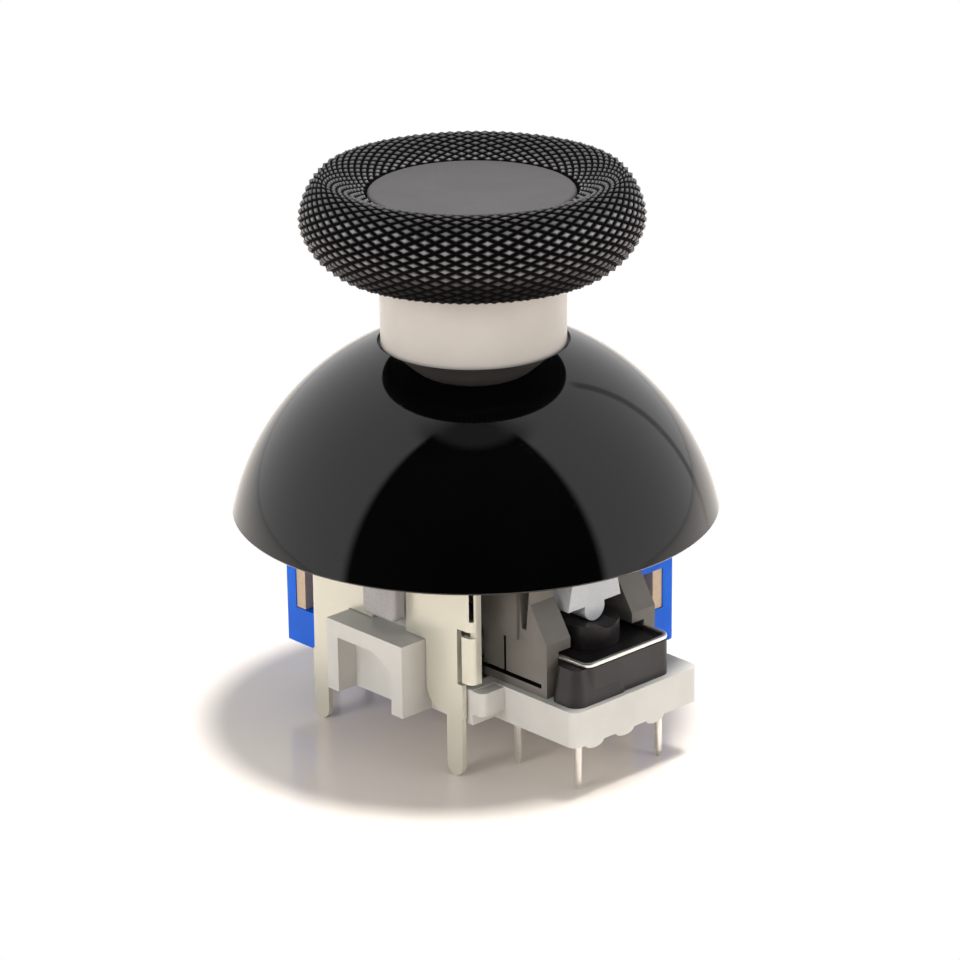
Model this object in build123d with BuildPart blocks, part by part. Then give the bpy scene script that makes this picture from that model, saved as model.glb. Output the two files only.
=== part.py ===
from build123d import *
import math
import os

# Analog stick module of a game controller: a thumb cap on a dust dome, over a gimbal of two arms in a
# folded sheet frame, with two position sensors and a push switch under the end of one arm.
# Millimetres, +Z up. The origin is on the stick's axis, level with the tips of the pins.
# The switch stands at +X, one sensor at -X, the other at +Y, and an arm's trunnion shows at -Y.

# Heights above the tips of the pins
base_bottom_z = 3.0
floor_thickness = 0.9
platform_top_z = 4.95
pivot_z = 9.1

# Clearances
running_gap = 0.06
seat_gap = 0.02
slot_gap = 0.3
swing_gap = 0.2
board_gap = 0.2

# Travel of the stick and of the switch's button
tilt_limit = 22.0
button_travel = 0.35

# Dust dome with its neck and post
dome_radius = 13.2
dome_wall = 0.85
dome_rim_z = 12.05
dome_rim_round = 0.1
collar_radius = 5.05
collar_depth = 0.5
post_radius = 3.6
socket_boss_radius = 3.9
socket_boss_clearance = 8.2
socket_depth = 3.4
neck_radius = 4.87
neck_chamfer = 0.15
neck_length = 4.67

# Thumb grip and its smooth pad, with the heights of the grip's section above its underside
grip_radius = 8.87
grip_widest_height = 2.48
grip_crest_radius = 7.62
grip_crest_height = 4.73
grip_shoulder_radius = 7.25
grip_shoulder_height = 0.15
grip_foot_radius = 4.95
grip_lip = 0.15
knurl_diamonds = 52
knurl_rows = 22
knurl_height = 0.17
pad_radius = 5.43
pad_top_height = 3.94
pad_thickness = 0.9
pad_edge = 0.2
pad_dish = 0.12

# Lever
hub_radius = 1.3
hub_half_length = 1.34
trunnion_radius = 0.5
lever_shaft_radius = 1.0
lever_shoulder_start = 4.7
lever_shoulder_end = 5.5
lever_post_radius = 1.95
lever_flat_depth = 0.6
foot_radius = 2.5
foot_half_angle = 35.0
foot_edge_height = 0.3
foot_neck_radius = 0.95

# Lower arm, which carries the lever and presses the switch
lower_frame_half_x = 2.9
lower_frame_half_y = 2.15
lower_frame_half_z = 0.9
lower_window_half_x = 2.2
lower_window_half_y = 1.4
lower_frame_corner = 0.35
arm_bar_radius = 1.25
press_pivot_x = 7.6
tang_half_width = 1.0
tang_half_height = 0.5
nose_reach = 1.05
nose_radius = 0.72
nose_behind_switch = 1.8
nose_past_switch = 0.5
nose_wing_half_width = 1.9
nose_wing_drop = 0.12
nose_top_height = 1.5
nose_top_half_width = 1.55

# Upper arm, the slotted arch over the lever
arch_inner_radius = 3.3
arch_outer_radius = 4.0
arch_half_width = 1.9
arch_leg_depth = 1.35
boss_shaft_radius = 1.25
boss_half_width = 1.28
boss_half_height = 1.5
boss_corner = 0.35
boss_thickness = 0.7
boss_end_round = 0.2

# Sheet frame
frame_half = 6.3
sheet = 0.3
frame_bend_radius = 0.1
frame_wall_bottom_z = 3.3
frame_top_height = 4.4
frame_hole_radius = 5.2
corner_slit = 0.25
corner_slit_bottom_z = 8.9
corner_slit_top_z = 12.6
corner_slit_length = 2.0
frame_leg_left_inset = 0.15
frame_leg_right_inset = 0.8
frame_leg_width = 1.15
wall_flare_radius = 1.3
side_window_margin = 0.7
side_window_top_z = 10.8
side_wall_bottom_z = 5.4
hook_width = 0.75
hook_cut_top_z = 8.15
hook_cut_width = 0.35

# Base
base_wall = 0.8
base_wall_top_z = 7.4
platform_margin = 0.29
platform_low_y = -4.35
platform_high_y = 4.75
platform_shell = 1.0
lobe_radius = 0.65
lobe_depth = 0.28
lobe_pitch = 2.2
lobe_first_y = -2.9
lobe_count = 3
corner_foot_reach = 0.35
corner_foot_bottom_z = 3.6
corner_foot_top_z = 4.9
corner_foot_round = 0.4
ledge_low_x = -3.1
ledge_high_x = 2.75
ledge_depth = 1.65
ledge_top_z = 7.0
ledge_leg_width = 0.85
ledge_beam = 0.9
ledge_haunch_width = 1.4
ledge_haunch_height = 0.8
ledge_back = 0.8
cradle_half_width = 2.1

# Return plate and spring
plate_side_gap = 0.6
plate_thickness = 0.7
plate_rim_height = 0.5
plate_rim_wall = 0.4
foot_gap = 0.04
spring_inset = 0.35
spring_wire = 0.45
spring_turns = 2.5

# Push switch
switch_setback = 2.1
switch_length = 6.1
switch_width = 6.2
switch_corner = 0.6
switch_height = 1.95
switch_lug_y = -3.95
switch_lug_proud = 0.1
switch_lug_round = 0.7
switch_lug_draft = 8.0
cover_height = 0.38
cover_rim = 0.4
button_radius = 1.65
button_top_height = -0.94
button_flange = 0.35
button_flange_height = 0.3
switch_floor = 0.4
contact_thickness = 0.08
contact_rise = 0.1
pin_spacing_x = 4.5
pin_spacing_y = 5.9
pin_radius = 0.2
pin_shoulder_radius = 0.28
pin_shoulder_below_lobes = 0.15
pin_point = 0.3

# Switch guide
guide_inside = 1.6
guide_outside = 3.1
guide_side_inset = 2.35
guide_top_z = 10.5
guide_channel_half = 2.25
cheek_slope_length = 1.2
cheek_slope = 1.6
cheek_shoulder_z = 7.9
notch_setback = 1.65
notch_half_width = 0.38
notch_bottom_half_width = 0.16
notch_bottom_z = 8.35
guide_pad_setback = 2.0
guide_pad_bottom_z = 7.7
guide_pad_proud = 0.2
guide_slot_height_above = 0.45
guide_slot_height = 0.25
guide_slot_depth = 0.5
guide_slot_setback = 0.4
guide_groove_width = 0.18

# Position sensors, drawn with the shaft pointing out along +X
sensor_gap = 0.05
sensor_depth = 3.9
sensor_half_width = 4.67
sensor_bottom_z = 2.75
sensor_top_z = 12.6
sensor_top_round = 2.4
sensor_edge_round = 0.2
sensor_skin = 0.85
sensor_window_inset = 1.05
sensor_window_bottom_z = 4.8
sensor_window_top_z = 7.1
track_board = 0.7
track_board_radius = 4.0
track_board_inset = 0.07
rotor_radius = 3.3
rotor_hub_radius = 1.6
rotor_thickness = 1.0
rotor_side_gap = 0.1
wiper_inner_radius = 1.9
wiper_outer_radius = 3.0
wiper_thickness = 0.1
wiper_dimple_radius = 0.3
terminals = 3
terminal_pitch = 2.5
terminal_width = 0.7
terminal_thickness = 0.3
terminal_tip_z = 0.4

# Places that follow from the sizes above
frame_top_z = pivot_z + frame_top_height
floor_top_z = base_bottom_z + floor_thickness
frame_corner_radius = frame_bend_radius + sheet
base_half = frame_half - sheet - 0.5 * board_gap
frame_leg_left_x = -frame_half + frame_leg_left_inset + 0.5 * frame_leg_width
frame_leg_right_x = frame_half - frame_leg_right_inset - 0.5 * frame_leg_width
side_window_half_width = frame_half - side_window_margin
hook_cut_x = frame_half - hook_width - hook_cut_width
corner_foot_x = frame_half + corner_foot_reach
ledge_front_y = frame_half + ledge_depth
ledge_width = ledge_high_x - ledge_low_x
ledge_middle_x = 0.5 * (ledge_low_x + ledge_high_x)
boss_block_y = frame_half + running_gap
boss_end_y = boss_block_y + boss_thickness
plate_radius = base_half - base_wall - plate_side_gap
spring_radius = plate_radius - plate_rim_wall - spring_inset
plate_top_z = pivot_z - foot_radius - foot_gap
spring_top_z = plate_top_z - plate_thickness
switch_x = frame_half + switch_setback
pin_shoulder_bottom_z = base_bottom_z - lobe_depth - pin_shoulder_below_lobes
switch_end_x = switch_x + 0.5 * switch_length
switch_top_z = platform_top_z + switch_height
platform_end_x = switch_end_x + switch_lug_proud + platform_margin
platform_width = platform_high_y - platform_low_y
platform_middle_y = 0.5 * (platform_low_y + platform_high_y)
guide_half_width = frame_half - guide_side_inset
guide_start_x = frame_half - guide_inside
guide_end_x = frame_half + guide_outside
guide_slot_bottom_z = platform_top_z + guide_slot_height_above
guide_slot_end_x = guide_end_x - guide_slot_setback
guide_pad_end_x = guide_end_x - guide_pad_setback
notch_x = guide_end_x - notch_setback
nose_start_x = switch_x - nose_behind_switch
nose_end_x = switch_x + nose_past_switch
button_top_z = pivot_z + button_top_height
press_reach = switch_x + press_pivot_x
press_limit = math.degrees(math.asin(button_travel / press_reach))
dome_center_height = dome_rim_z - pivot_z
dome_inner_radius = dome_radius - dome_wall
collar_z = pivot_z + math.sqrt(dome_radius**2 - collar_radius**2)
collar_floor_z = collar_z - collar_depth
boss_bottom_z = pivot_z + socket_boss_clearance
lever_post_top_z = boss_bottom_z + socket_depth
grip_bottom_z = collar_floor_z + neck_length
pad_top_z = grip_bottom_z + pad_top_height
pad_bottom_z = pad_top_z - pad_thickness
arch_slot_half = lever_shaft_radius + slot_gap
arch_slot_half_angle = tilt_limit + math.degrees(math.asin(arch_slot_half / arch_inner_radius))
sensor_inner = frame_half + sensor_gap
sensor_outer = sensor_inner + sensor_depth
sensor_window_inner = sensor_inner + sensor_window_inset
track_board_half_width = sensor_half_width - track_board_inset
rotor_inner = sensor_outer - sensor_skin - track_board - board_gap - rotor_thickness
rotor_outer = rotor_inner + rotor_thickness
track_inner = sensor_outer - sensor_skin - track_board
tang_end = rotor_outer - rotor_side_gap
cavity_inner = rotor_inner - rotor_side_gap

os.makedirs("parts", exist_ok=True)


def write(piece, name):
    piece.label = name
    export_step(piece, f"parts/{name}.step")


def on_sphere(radius, angle):
    # Point of a circle about the pivot, in the XZ plane
    return (radius * math.cos(math.radians(angle)), pivot_z + radius * math.sin(math.radians(angle)))


# Dust dome: a spherical skin about the pivot, with a post for the grip and a socket for the lever
dome_rim_angle = math.degrees(math.asin(dome_center_height / dome_radius))
dome_inner_rim_angle = math.degrees(math.asin(dome_center_height / dome_inner_radius))
dome_collar_angle = math.degrees(math.acos(collar_radius / dome_radius))
dome_boss_angle = math.degrees(math.acos(collar_radius / dome_inner_radius))
with BuildPart() as dome_skirt:
    with BuildSketch(Plane.XZ) as dome_section:
        with BuildLine():
            outer_skin = ThreePointArc(
                on_sphere(dome_radius, dome_rim_angle),
                on_sphere(dome_radius, 0.5 * (dome_rim_angle + dome_collar_angle)),
                on_sphere(dome_radius, dome_collar_angle),
            )
            collar = Polyline(
                outer_skin @ 1,
                (collar_radius, collar_floor_z),
                (post_radius, collar_floor_z),
                (post_radius, pad_bottom_z - seat_gap),
                (0, pad_bottom_z - seat_gap),
                (0, boss_bottom_z),
                (socket_boss_radius, boss_bottom_z),
                on_sphere(dome_inner_radius, dome_boss_angle),
            )
            inner_skin = ThreePointArc(
                collar @ 1,
                on_sphere(dome_inner_radius, 0.5 * (dome_inner_rim_angle + dome_boss_angle)),
                on_sphere(dome_inner_radius, dome_inner_rim_angle),
            )
            Line(inner_skin @ 1, outer_skin @ 0)
        make_face()
    revolve(axis=Axis.Z)
    fillet(dome_skirt.edges().group_by(Axis.Z)[0], dome_rim_round)
    with BuildSketch(Plane.XY.offset(boss_bottom_z)):
        Circle(lever_post_radius + seat_gap)
        with Locations((0, lever_post_radius)):
            Rectangle(
                2 * (lever_post_radius + seat_gap),
                2 * (lever_flat_depth - seat_gap),
                mode=Mode.SUBTRACT,
            )
    extrude(amount=lever_post_top_z + seat_gap - boss_bottom_z, mode=Mode.SUBTRACT)
write(dome_skirt.part, "dome_skirt")

# Neck sleeve: cream tube over the post, between the dome's collar and the grip
with BuildPart() as neck_sleeve:
    with BuildSketch(Plane.XY.offset(collar_floor_z)):
        Circle(neck_radius)
        Circle(post_radius + seat_gap, mode=Mode.SUBTRACT)
    extrude(amount=grip_bottom_z - collar_floor_z)
    chamfer(neck_sleeve.edges().filter_by(GeomType.CIRCLE).sort_by(SortBy.RADIUS)[-2:], neck_chamfer)
write(neck_sleeve.part, "neck_sleeve")

# Section of the thumb grip: in from the pad's lip over the crest, the widest part and the shoulder
with BuildLine():
    grip_outline = Spline(
        (pad_radius + grip_lip, pad_top_z),
        (grip_crest_radius, grip_bottom_z + grip_crest_height),
        (grip_radius, grip_bottom_z + grip_widest_height),
        (grip_shoulder_radius, grip_bottom_z + grip_shoulder_height),
        (grip_foot_radius, grip_bottom_z),
        tangents=((1, 0.7), (-1, 0)),
    )


def knurl_point(column, row):
    # Point of the grip's surface, raised to a diamond's tip at every second crossing of the net
    share = row / knurl_rows
    on_outline = grip_outline.position_at(share)
    along = grip_outline.tangent_at(share)
    is_tip = (column + row) % 2 == 0 and 0 < row < knurl_rows
    rise = knurl_height if is_tip else 0
    radius = on_outline.X - rise * along.Y
    bearing = math.pi * column / knurl_diamonds
    return (radius * math.cos(bearing), radius * math.sin(bearing), on_outline.Y + rise * along.X)


# Thumb grip: a turned ring covered by a diamond knurl, with a seat for the pad
knurl_net = [
    [knurl_point(column, row) for column in range(2 * knurl_diamonds)]
    for row in range(knurl_rows + 1)
]
facets = [Face(Wire.make_polygon(knurl_net[0])), Face(Wire.make_polygon(knurl_net[-1]))]
for row in range(knurl_rows):
    for column in range(2 * knurl_diamonds):
        upper = knurl_net[row][column - 1], knurl_net[row][column]
        lower = knurl_net[row + 1][column - 1], knurl_net[row + 1][column]
        if (column + row) % 2:
            halves = (upper[0], upper[1], lower[0]), (upper[1], lower[1], lower[0])
        else:
            halves = (upper[0], upper[1], lower[1]), (upper[0], lower[1], lower[0])
        facets += [Face(Wire.make_polygon(half)) for half in halves]
with BuildPart() as thumb_grip:
    add(Solid(Shell(facets)))
    with BuildSketch(Plane.XY.offset(pad_bottom_z)):
        Circle(pad_radius)
    extrude(amount=pad_thickness, mode=Mode.SUBTRACT)
    with BuildSketch(Plane.XY.offset(grip_bottom_z)):
        Circle(post_radius + seat_gap)
    extrude(amount=pad_bottom_z - grip_bottom_z, mode=Mode.SUBTRACT)
write(thumb_grip.part, "thumb_grip")

# Thumb pad: smooth disc, slightly hollow on top
with BuildPart() as thumb_pad:
    with BuildSketch(Plane.XZ):
        with BuildLine():
            pad_side = Polyline(
                (0, pad_top_z - pad_dish),
                (0, pad_bottom_z),
                (pad_radius - seat_gap, pad_bottom_z),
                (pad_radius - seat_gap, pad_top_z - pad_edge),
                (pad_radius - pad_edge, pad_top_z),
            )
            Spline(pad_side @ 1, pad_side @ 0, tangents=((-1, -0.05), (-1, 0)))
        make_face()
    revolve(axis=Axis.Z)
write(thumb_pad.part, "thumb_pad")

# Lever: hub and trunnions in the lower arm, a keyed post up into the dome, and a foot that is part of a
# sphere about the pivot, so that it keeps its height while the stick tilts
foot_edge_radius = foot_radius * math.sin(math.radians(foot_half_angle))
foot_edge_z = pivot_z - foot_radius * math.cos(math.radians(foot_half_angle))
with BuildPart() as lever:
    with BuildSketch(Plane.XZ):
        with BuildLine():
            foot = ThreePointArc(
                (0, pivot_z - foot_radius),
                on_sphere(foot_radius, -90 + 0.5 * foot_half_angle),
                (foot_edge_radius, foot_edge_z),
            )
            Polyline(
                foot @ 1,
                (foot_edge_radius, foot_edge_z + foot_edge_height),
                (foot_neck_radius, foot_edge_z + 2 * foot_edge_height),
                (foot_neck_radius, pivot_z),
                (lever_shaft_radius, pivot_z),
                (lever_shaft_radius, pivot_z + lever_shoulder_start),
                (lever_post_radius, pivot_z + lever_shoulder_end),
                (lever_post_radius, lever_post_top_z),
                (0, lever_post_top_z),
                foot @ 0,
            )
        make_face()
    revolve(axis=Axis.Z)
    with BuildSketch(Plane.XZ):
        with Locations((0, pivot_z)):
            Circle(hub_radius)
    extrude(amount=hub_half_length, both=True)
    with BuildSketch(Plane.XZ):
        with Locations((0, pivot_z)):
            Circle(trunnion_radius)
    extrude(amount=lower_frame_half_y, both=True)
    with BuildSketch(Plane.XY.offset(boss_bottom_z - running_gap)):
        with Locations((0, lever_post_radius)):
            Rectangle(2 * lever_post_radius, 2 * lever_flat_depth)
    extrude(until=Until.LAST, mode=Mode.SUBTRACT)
write(lever.part, "lever")

# Lower arm: a window round the lever's hub, a bar and tang into the sensor at -X, and a bar that ends in
# a winged nose over the switch at +X
arm_bar_end = sensor_inner - swing_gap
with BuildPart() as lower_arm:
    with BuildSketch(Plane.XY.offset(pivot_z)):
        RectangleRounded(2 * lower_frame_half_x, 2 * lower_frame_half_y, lower_frame_corner)
        Rectangle(2 * lower_window_half_x, 2 * lower_window_half_y, mode=Mode.SUBTRACT)
    extrude(amount=lower_frame_half_z, both=True)
    with BuildSketch(Plane.YZ.offset(lower_window_half_x)):
        with Locations((0, pivot_z)):
            Circle(arm_bar_radius)
    extrude(amount=nose_start_x - lower_window_half_x)
    with BuildSketch(Plane.YZ.offset(nose_start_x)):
        with Locations((0, pivot_z - nose_reach + nose_radius)):
            Circle(nose_radius)
        with BuildLine():
            Polyline(
                (nose_wing_half_width, pivot_z - nose_wing_drop),
                (nose_top_half_width, pivot_z + nose_top_height),
                (-nose_top_half_width, pivot_z + nose_top_height),
                (-nose_wing_half_width, pivot_z - nose_wing_drop),
                close=True,
            )
        make_face()
    extrude(amount=nose_end_x - nose_start_x)
    with BuildSketch(Plane.YZ.offset(-lower_window_half_x)):
        with Locations((0, pivot_z)):
            Circle(arm_bar_radius)
    extrude(amount=-(arm_bar_end - lower_window_half_x))
    with BuildSketch(Plane.YZ.offset(-arm_bar_end)):
        with Locations((0, pivot_z)):
            SlotOverall(2 * tang_half_width, 2 * tang_half_height)
    extrude(amount=-(tang_end - arm_bar_end))
    with Locations(Plane.XZ.offset(lower_frame_half_y) * Pos(0, pivot_z)):
        Hole(trunnion_radius + running_gap)
write(lower_arm.part, "lower_arm")

# Upper arm: an arch with a slot along Y that the lever slides in, a shaft with a flat-sided boss outside
# the frame at -Y, and a tang at +Y
with BuildPart() as upper_arm:
    with BuildSketch(Plane.YZ):
        with Locations((0, pivot_z)):
            Circle(arch_outer_radius)
            Circle(arch_inner_radius, mode=Mode.SUBTRACT)
            with Locations((0, -0.5 * arch_outer_radius)):
                Rectangle(2 * arch_outer_radius, arch_outer_radius, mode=Mode.SUBTRACT)
        for side in (1, -1):
            arch_leg_x = side * 0.5 * (arch_inner_radius + arch_outer_radius)
            with Locations((arch_leg_x, pivot_z - 0.5 * arch_leg_depth)):
                Rectangle(arch_outer_radius - arch_inner_radius, arch_leg_depth)
    extrude(amount=arch_half_width, both=True)
    with BuildSketch(Plane.YZ):
        with BuildLine():
            Polyline(
                (0, pivot_z),
                (
                    arch_outer_radius * math.tan(math.radians(arch_slot_half_angle)),
                    pivot_z + arch_outer_radius,
                ),
                (
                    -arch_outer_radius * math.tan(math.radians(arch_slot_half_angle)),
                    pivot_z + arch_outer_radius,
                ),
                close=True,
            )
        make_face()
    extrude(amount=arch_slot_half, both=True, mode=Mode.SUBTRACT)
    with BuildSketch(Plane.XZ.offset(arch_inner_radius)):
        with Locations((0, pivot_z)):
            Circle(boss_shaft_radius)
    extrude(amount=boss_end_y - arch_inner_radius)
    with BuildSketch(Plane.XZ.offset(boss_block_y)):
        with Locations((0, pivot_z)):
            RectangleRounded(2 * boss_half_width, 2 * boss_half_height, boss_corner)
    extrude(amount=boss_end_y - boss_block_y)
    fillet(upper_arm.faces().sort_by(Axis.Y)[0].edges(), boss_end_round)
    with BuildSketch(Plane.XZ.offset(-arch_inner_radius)):
        with Locations((0, pivot_z)):
            Circle(arm_bar_radius)
    extrude(amount=-(arm_bar_end - arch_inner_radius))
    with BuildSketch(Plane.XZ.offset(-arm_bar_end)):
        with Locations((0, pivot_z)):
            SlotOverall(2 * tang_half_width, 2 * tang_half_height)
    extrude(amount=-(tang_end - arm_bar_end))
write(upper_arm.part, "upper_arm")

# Sheet frame: a folded box, open below, with a round hole for the lever and slits at its corners
with BuildPart() as frame_shell:
    with BuildSketch(Plane.XY.offset(frame_wall_bottom_z)):
        RectangleRounded(2 * frame_half, 2 * frame_half, frame_corner_radius)
    extrude(amount=frame_top_z - frame_wall_bottom_z)
    fillet(frame_shell.faces().sort_by(Axis.Z)[-1].edges(), 0.5 * frame_corner_radius)
    with BuildSketch(Plane.XY.offset(frame_wall_bottom_z)):
        RectangleRounded(
            2 * (frame_half - sheet), 2 * (frame_half - sheet), frame_bend_radius
        )
    extrude(amount=frame_top_z - sheet - frame_wall_bottom_z, mode=Mode.SUBTRACT)
    with BuildSketch(Plane.XY.offset(frame_top_z - sheet)):
        Circle(frame_hole_radius)
    extrude(amount=sheet, mode=Mode.SUBTRACT)
    # Cut-out round the arch of the base and the keyhole of the boss, alike in the wall at +Y
    with BuildSketch(Plane.XZ):
        with Locations((ledge_middle_x, 0.5 * (frame_wall_bottom_z + ledge_top_z + running_gap))):
            Rectangle(ledge_width + 2 * running_gap, ledge_top_z + running_gap - frame_wall_bottom_z)
        with Locations((0, 0.5 * (ledge_top_z + pivot_z))):
            Rectangle(2 * (boss_shaft_radius + running_gap), pivot_z - ledge_top_z)
        with Locations((0, pivot_z)):
            Circle(boss_shaft_radius + running_gap)
        for side in (1, -1):
            cut_edge_x = ledge_middle_x + side * (0.5 * ledge_width + running_gap)
            with Locations((cut_edge_x, frame_wall_bottom_z)):
                Rectangle(2 * wall_flare_radius, 2 * wall_flare_radius)
            with Locations((cut_edge_x + side * wall_flare_radius, frame_wall_bottom_z + wall_flare_radius)):
                Circle(wall_flare_radius, mode=Mode.SUBTRACT)
    extrude(amount=frame_half, both=True, mode=Mode.SUBTRACT)
    # Wall at -X: the arm's bar passes it
    with BuildSketch(Plane.YZ):
        with Locations((0, pivot_z)):
            Circle(arm_bar_radius + swing_gap)
        with Locations((0, 0.5 * (pivot_z + frame_wall_bottom_z))):
            Rectangle(2 * (arm_bar_radius + swing_gap), pivot_z - frame_wall_bottom_z)
    extrude(amount=-frame_half, mode=Mode.SUBTRACT)
    # Wall at +X: a wide window for the switch guide, and nothing below the hooked corners
    with BuildSketch(Plane.YZ):
        with Locations((0, 0.5 * (side_window_top_z + frame_wall_bottom_z))):
            Rectangle(2 * side_window_half_width, side_window_top_z - frame_wall_bottom_z)
    extrude(amount=frame_half, mode=Mode.SUBTRACT)
    with BuildSketch(Plane.XY.offset(frame_wall_bottom_z)):
        with Locations((0.5 * (hook_cut_x + hook_cut_width + frame_half), 0)):
            Rectangle(frame_half - hook_cut_x - hook_cut_width, 2 * frame_half)
    extrude(amount=side_wall_bottom_z - frame_wall_bottom_z, mode=Mode.SUBTRACT)
    for side in (1, -1):
        with BuildSketch(Plane.XZ.offset(side * frame_half)):
            with Locations(
                (hook_cut_x + 0.5 * hook_cut_width, 0.5 * (hook_cut_top_z + side_wall_bottom_z))
            ):
                Rectangle(hook_cut_width, hook_cut_top_z - side_wall_bottom_z + hook_cut_width)
            with Locations((0.5 * (hook_cut_x + frame_half), hook_cut_top_z)):
                Rectangle(frame_half - hook_cut_x, hook_cut_width)
        extrude(amount=-side * sheet, mode=Mode.SUBTRACT)
    with BuildSketch(Plane.XY.offset(corner_slit_bottom_z)):
        with PolarLocations(math.sqrt(2) * (frame_half - sheet), 4, start_angle=45):
            Rectangle(corner_slit_length, corner_slit)
    extrude(amount=corner_slit_top_z - corner_slit_bottom_z, mode=Mode.SUBTRACT)
    # Legs with rounded tips, two on each of the walls along X
    for wall in (Plane.XZ.offset(frame_half), Plane.XZ.offset(sheet - frame_half)):
        with BuildSketch(wall):
            for leg_x in (frame_leg_left_x, frame_leg_right_x):
                with Locations((leg_x, 0.5 * (frame_wall_bottom_z + frame_leg_width))):
                    Rectangle(frame_leg_width, frame_wall_bottom_z)
                with Locations((leg_x, 0.5 * frame_leg_width)):
                    Circle(0.5 * frame_leg_width)
        extrude(amount=-sheet)
write(frame_shell.part, "frame_shell")

# Base: floor and wall inside the frame, cradles for the upper arm, the platform of the switch at +X, and
# the arched ledge below the boss at -Y
with BuildPart() as base:
    with BuildSketch(Plane.XY.offset(base_bottom_z)):
        Rectangle(2 * base_half, 2 * base_half)
    extrude(amount=base_wall_top_z - base_bottom_z)
    with BuildSketch(Plane.XY.offset(floor_top_z)):
        Rectangle(2 * (base_half - base_wall), 2 * (base_half - base_wall))
    extrude(amount=base_wall_top_z - floor_top_z, mode=Mode.SUBTRACT)
    # The wall is low at +X, below the guide
    with BuildSketch(Plane.XY.offset(platform_top_z)):
        with Locations((0.5 * (guide_start_x + frame_half) - board_gap, 0)):
            Rectangle(frame_half - guide_start_x + 2 * board_gap, 2 * base_half)
    extrude(amount=base_wall_top_z - platform_top_z, mode=Mode.SUBTRACT)
    # Cradles that the trunnions of the upper arm turn in
    for side, cradle_bore in ((1, boss_shaft_radius + running_gap), (-1, arm_bar_radius + swing_gap)):
        with BuildSketch(Plane.XZ.offset(side * base_half)):
            with Locations((0, 0.5 * (floor_top_z + pivot_z))):
                Rectangle(2 * cradle_half_width, pivot_z - floor_top_z)
            with Locations((0, pivot_z)):
                Circle(cradle_bore, mode=Mode.SUBTRACT)
        extrude(amount=-side * base_wall)
    # Corner flange below the hooks of the frame
    with BuildSketch(Plane.XY.offset(corner_foot_bottom_z)):
        with Locations((0.5 * (hook_cut_x + hook_cut_width + board_gap + corner_foot_x), 0)):
            Rectangle(corner_foot_x - hook_cut_x - hook_cut_width - board_gap, 2 * base_half)
    extrude(amount=corner_foot_top_z - corner_foot_bottom_z)
    fillet(base.edges().filter_by(Axis.Z).sort_by(Axis.X)[-2:], corner_foot_round)
    # Platform of the switch, hollow below, with a row of lobes under its outer edge
    with BuildSketch(Plane.XY.offset(base_bottom_z)):
        with Locations((0.5 * (base_half + platform_end_x), platform_middle_y)):
            Rectangle(platform_end_x - base_half, platform_width)
    extrude(amount=platform_top_z - base_bottom_z)
    platform_corners = base.edges().filter_by(Axis.Z).sort_by(Axis.X)[-2:]
    fillet(platform_corners, 0.5 * platform_shell)
    with BuildSketch(Plane.XY.offset(base_bottom_z)):
        with Locations((0.5 * (corner_foot_x + platform_end_x), platform_middle_y)):
            Rectangle(
                platform_end_x - corner_foot_x - 2 * platform_shell,
                platform_width - 2 * platform_shell,
            )
    extrude(amount=platform_top_z - platform_shell - base_bottom_z, mode=Mode.SUBTRACT)
    with BuildSketch(Plane.YZ.offset(platform_end_x)):
        for lobe in range(lobe_count):
            with Locations((lobe_first_y + lobe * lobe_pitch, base_bottom_z)):
                Ellipse(lobe_radius, lobe_depth)
    extrude(amount=-0.5 * platform_shell)
    with BuildSketch(Plane.XY.offset(base_bottom_z)):
        with Locations((switch_x, 0)):
            with GridLocations(pin_spacing_x, pin_spacing_y, 2, 2):
                Circle(pin_shoulder_radius + running_gap)
    extrude(amount=platform_top_z - base_bottom_z, mode=Mode.SUBTRACT)
    # Arched ledge in front of the wall at -Y
    with BuildSketch(Plane.XZ.offset(base_half)):
        with Locations((ledge_middle_x, 0.5 * (base_bottom_z + ledge_top_z))):
            Rectangle(ledge_width, ledge_top_z - base_bottom_z)
    extrude(amount=ledge_front_y - base_half)
    with BuildSketch(Plane.XZ.offset(base_half + ledge_back)):
        with BuildLine():
            Polyline(
                (ledge_low_x + ledge_leg_width, base_bottom_z),
                (ledge_low_x + ledge_leg_width, ledge_top_z - ledge_beam),
                (ledge_high_x - ledge_leg_width - ledge_haunch_width, ledge_top_z - ledge_beam),
                (ledge_high_x - ledge_leg_width, ledge_top_z - ledge_beam - ledge_haunch_height),
                (ledge_high_x - ledge_leg_width, base_bottom_z),
                close=True,
            )
        make_face()
    extrude(amount=ledge_front_y - base_half - ledge_back, mode=Mode.SUBTRACT)
write(base.part, "base")

# Return plate: flat disc under the foot of the lever, with a rim that holds the spring
with BuildPart() as return_plate:
    with BuildSketch(Plane.XY.offset(spring_top_z)):
        Circle(plate_radius)
    extrude(amount=plate_thickness)
    with BuildSketch(Plane.XY.offset(spring_top_z)):
        Circle(plate_radius)
        Circle(plate_radius - plate_rim_wall, mode=Mode.SUBTRACT)
    extrude(amount=-plate_rim_height)
    fillet(return_plate.faces().sort_by(Axis.Z)[-1].edges(), 0.5 * plate_rim_wall)
write(return_plate.part, "return_plate")

# Return spring: open coil between the floor of the base and the plate
spring_height = spring_top_z - floor_top_z - spring_wire - 2 * seat_gap
with BuildPart() as return_spring:
    with BuildLine():
        coil = Helix(
            pitch=spring_height / spring_turns,
            height=spring_height,
            radius=spring_radius,
            center=(0, 0, floor_top_z + 0.5 * spring_wire + seat_gap),
        )
    with BuildSketch(Plane(origin=coil @ 0, z_dir=coil % 0)):
        Circle(0.5 * spring_wire)
    sweep(is_frenet=True)
write(return_spring.part, "return_spring")

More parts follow.
